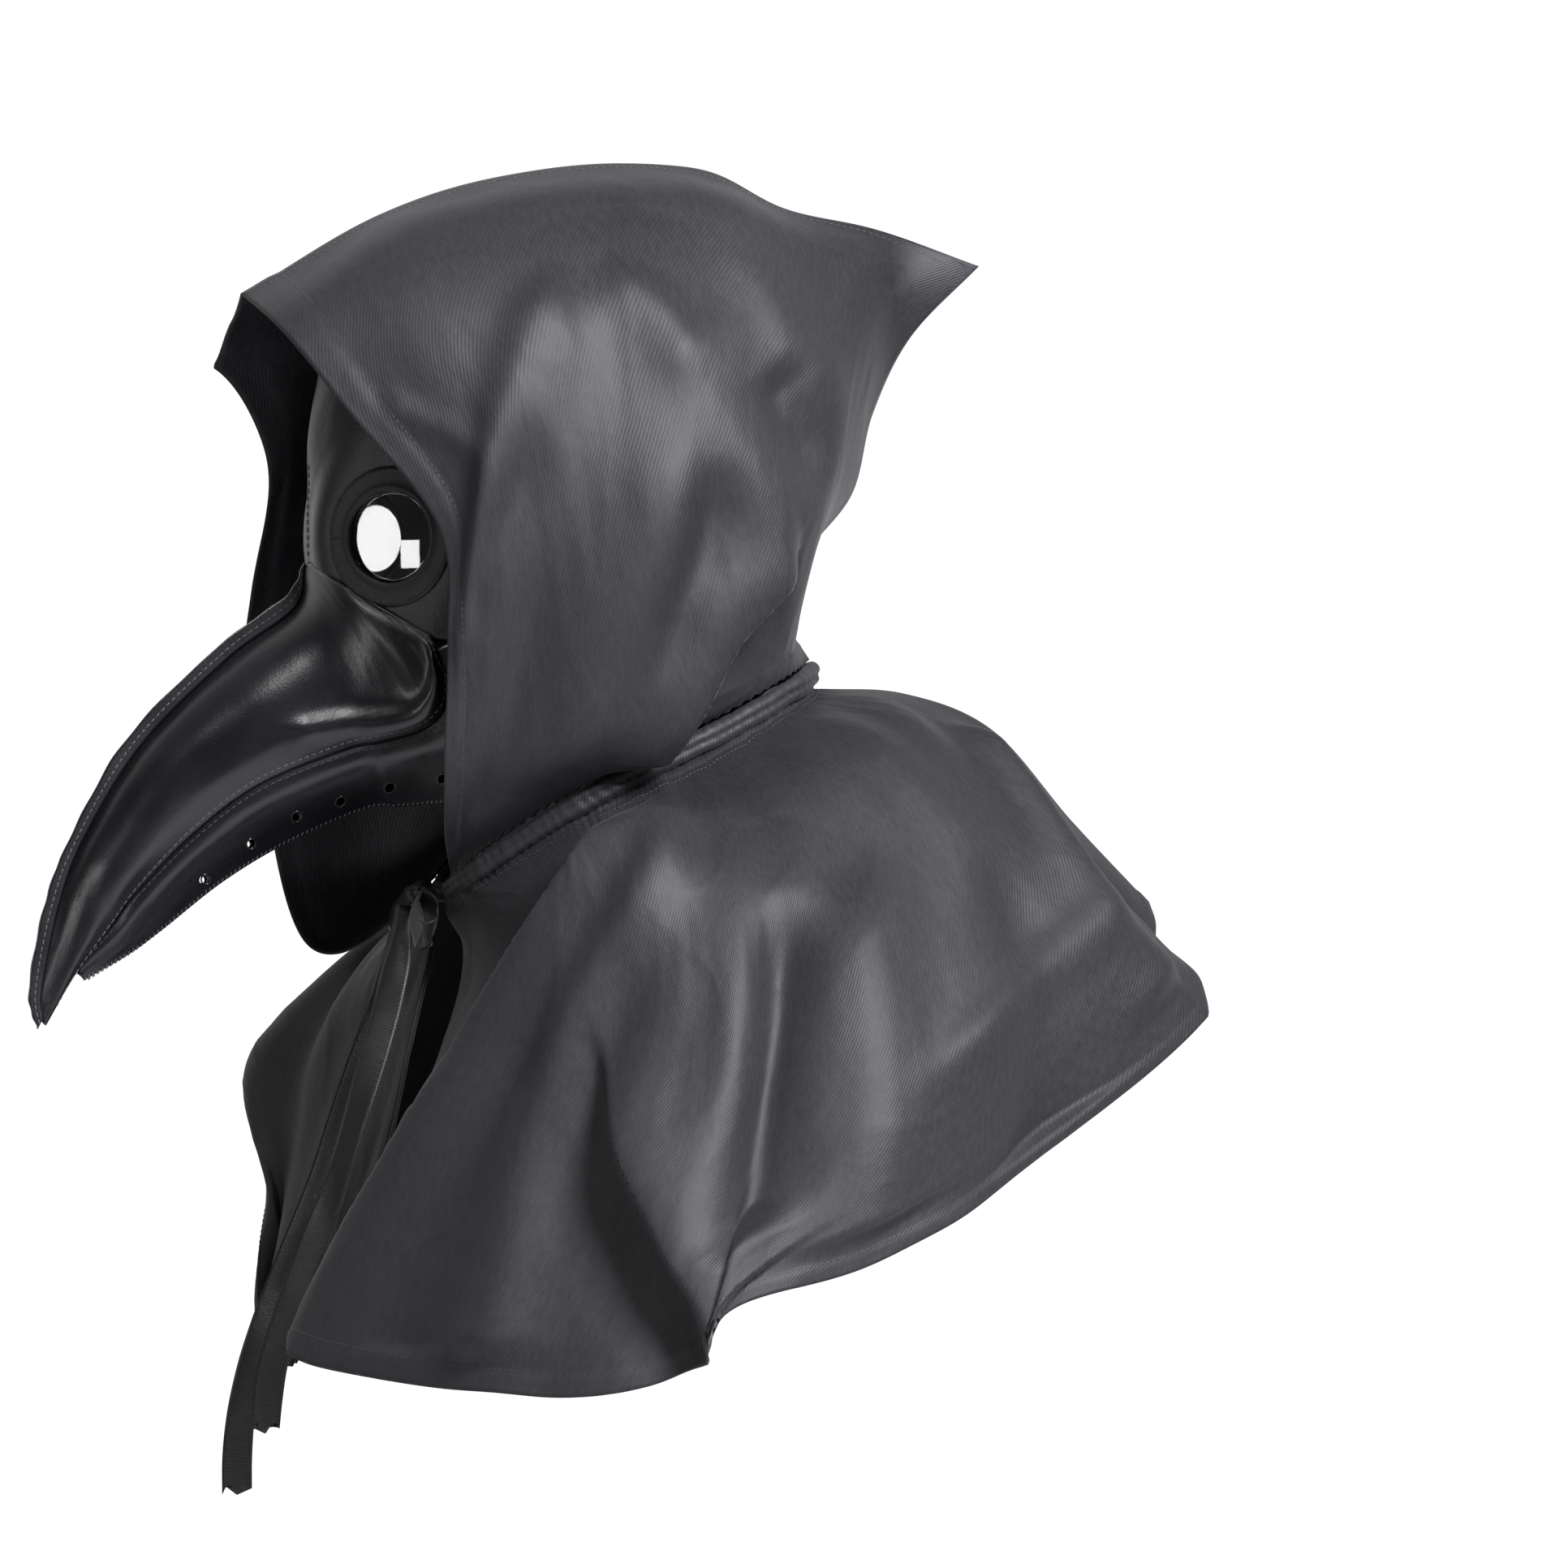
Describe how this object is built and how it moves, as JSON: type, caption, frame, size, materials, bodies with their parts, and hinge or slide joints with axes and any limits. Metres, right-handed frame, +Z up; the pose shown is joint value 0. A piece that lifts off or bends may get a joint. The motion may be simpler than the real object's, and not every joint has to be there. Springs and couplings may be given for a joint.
{
  "type": "beaked leather mask with hooded capelet",
  "caption": "Long-beaked leather full-face mask with clear round eyepieces and an elastic head strap, worn under a draped satin hood with a shoulder cape tied by a ribbon bow.",
  "frame": {"origin": "inside the wearer's head at eye height, on the midplane, between the ears", "axes": "+X towards the wearer's left, -Y the way the wearer faces, +Z up"},
  "size_m": [0.458, 0.542, 0.6219],
  "materials": {
    "grain_leather": "black, fine pebble grain, low sheen",
    "smooth_leather": "black, smooth, soft gloss",
    "ring_leather": "black, smooth, two rows of stitches",
    "clear_lens": "clear, polished",
    "elastic": "matte black ribbed elastic",
    "satin": "charcoal satin twill with a grey sheen",
    "ribbon": "black ribbed satin ribbon"
  },
  "bodies": {
    "cape": {"hood_neck_left": "satin", "hood_neck_right": "satin", "neck_band": "satin", "neck_ribbon": "ribbon", "cape_left": "satin", "cape_right": "satin", "facing_left": "satin", "facing_right": "satin", "bow_knot": "ribbon", "bow_loop_left": "ribbon", "bow_loop_right": "ribbon", "ribbon_tail_left": "ribbon", "ribbon_tail_right": "ribbon"},
    "hood": {"hood_left": "satin", "hood_right": "satin"},
    "mask": {"face_panel": "grain_leather", "beak_left": "smooth_leather", "beak_right": "smooth_leather", "jaw_left": "smooth_leather", "jaw_right": "smooth_leather", "eye_ring_left": "ring_leather", "eye_ring_right": "ring_leather", "lens_left": "clear_lens", "lens_right": "clear_lens"},
    "strap": {"head_strap": "elastic"}
  },
  "joints": [
    {"name": "hood_fold", "type": "hinge", "parent": "cape", "child": "hood", "pos_m": [0, 0.107, -0.045], "axis": [-1, 0, 0], "range_deg": [0, 40]},
    {"name": "mask_pull", "type": "slide", "parent": "cape", "child": "mask", "axis": [0, -1, 0], "range_m": [0, 0.3]},
    {"name": "strap_swing", "type": "hinge", "parent": "mask", "child": "strap", "pos_m": [0, 0.03, 0.047], "axis": [1, 0, 0], "range_deg": [0, 30]}
  ]
}
